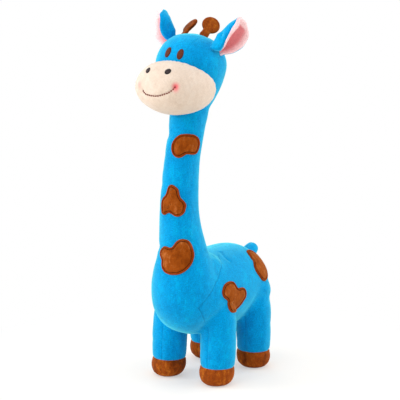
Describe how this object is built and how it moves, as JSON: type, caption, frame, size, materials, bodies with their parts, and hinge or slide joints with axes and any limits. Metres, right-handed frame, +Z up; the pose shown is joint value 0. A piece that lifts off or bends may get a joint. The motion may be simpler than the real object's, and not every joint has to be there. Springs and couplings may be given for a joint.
{
  "type": "plush giraffe pillow",
  "caption": "Long-necked plush giraffe pillow that stands on stuffed legs, with cupped ears, flat horns, appliqued patches and an embroidered face.",
  "frame": {"origin": "on the floor under the middle of the whole toy", "axes": "+Z up, -Y the way the giraffe faces, +X towards its left side"},
  "size_m": [0.1541, 0.3045, 0.592],
  "materials": {
    "blue_plush": "short-pile velvet plush",
    "brown_plush": "short-pile velvet plush",
    "cream_plush": "short-pile velvet plush",
    "pink_plush": "short-pile velvet plush",
    "brown_velvet": "satin velvet applique with a rolled rim",
    "brown_thread": "satin embroidery",
    "dark_thread": "satin embroidery",
    "fibre_filling": "loose polyester fibre"
  },
  "bodies": {
    "stuffed_body": {"torso_cover": "blue_plush", "neck_and_chest_cover": "blue_plush", "head_cover": "blue_plush", "muzzle_cover": "cream_plush", "torso_filling": "fibre_filling", "neck_filling": "fibre_filling", "head_filling": "fibre_filling", "front_left_leg_cover": "blue_plush", "front_left_hoof": "brown_plush", "front_left_leg_filling": "fibre_filling", "front_right_leg_cover": "blue_plush", "front_right_hoof": "brown_plush", "front_right_leg_filling": "fibre_filling", "rear_left_leg_cover": "blue_plush", "rear_left_hoof": "brown_plush", "rear_left_leg_filling": "fibre_filling", "rear_right_leg_cover": "blue_plush", "rear_right_hoof": "brown_plush", "rear_right_leg_filling": "fibre_filling", "neck_patch_upper": "brown_velvet", "neck_patch_middle": "brown_velvet", "neck_patch_lower": "brown_velvet", "nape_patch_upper": "brown_velvet", "nape_patch_lower": "brown_velvet", "flank_patch_left": "brown_velvet", "flank_patch_right": "brown_velvet", "rump_patch_left": "brown_velvet", "rump_patch_right": "brown_velvet", "eye_left": "brown_thread", "eye_right": "brown_thread", "nostril_left": "dark_thread", "nostril_right": "dark_thread", "mouth": "brown_thread"},
    "left_ear": {"ear_back_left": "blue_plush", "ear_lining_left": "pink_plush"},
    "right_ear": {"ear_back_right": "blue_plush", "ear_lining_right": "pink_plush"},
    "left_horn": {"horn_left": "brown_plush"},
    "right_horn": {"horn_right": "brown_plush"},
    "tail": {"tail": "blue_plush"}
  },
  "joints": [
    {"name": "left_ear_flop", "type": "hinge", "parent": "stuffed_body", "child": "left_ear", "pos_m": [0.04326, -0.04345, 0.54315], "axis": [-0.1253, 0.8292, -0.5447], "range_deg": [-20, 20], "stiffness_Nm_per_rad": 0.03},
    {"name": "right_ear_flop", "type": "hinge", "parent": "stuffed_body", "child": "right_ear", "pos_m": [-0.03717, -0.04237, 0.54955], "axis": [-0.1401, -0.814, 0.5637], "range_deg": [-20, 20], "stiffness_Nm_per_rad": 0.03},
    {"name": "left_horn_bend", "type": "hinge", "parent": "stuffed_body", "child": "left_horn", "pos_m": [0.0186, -0.03795, 0.5601], "axis": [0.8301, 0.3183, -0.4579], "range_deg": [-20, 20], "stiffness_Nm_per_rad": 0.03},
    {"name": "right_horn_bend", "type": "hinge", "parent": "stuffed_body", "child": "right_horn", "pos_m": [-0.0186, -0.03795, 0.5601], "axis": [0.8301, -0.3183, 0.4579], "range_deg": [-20, 20], "stiffness_Nm_per_rad": 0.03},
    {"name": "tail_bend", "type": "hinge", "parent": "stuffed_body", "child": "tail", "pos_m": [0, 0.111, 0.172], "axis": [-1, 0, 0], "range_deg": [-15, 15], "stiffness_Nm_per_rad": 0.03}
  ]
}
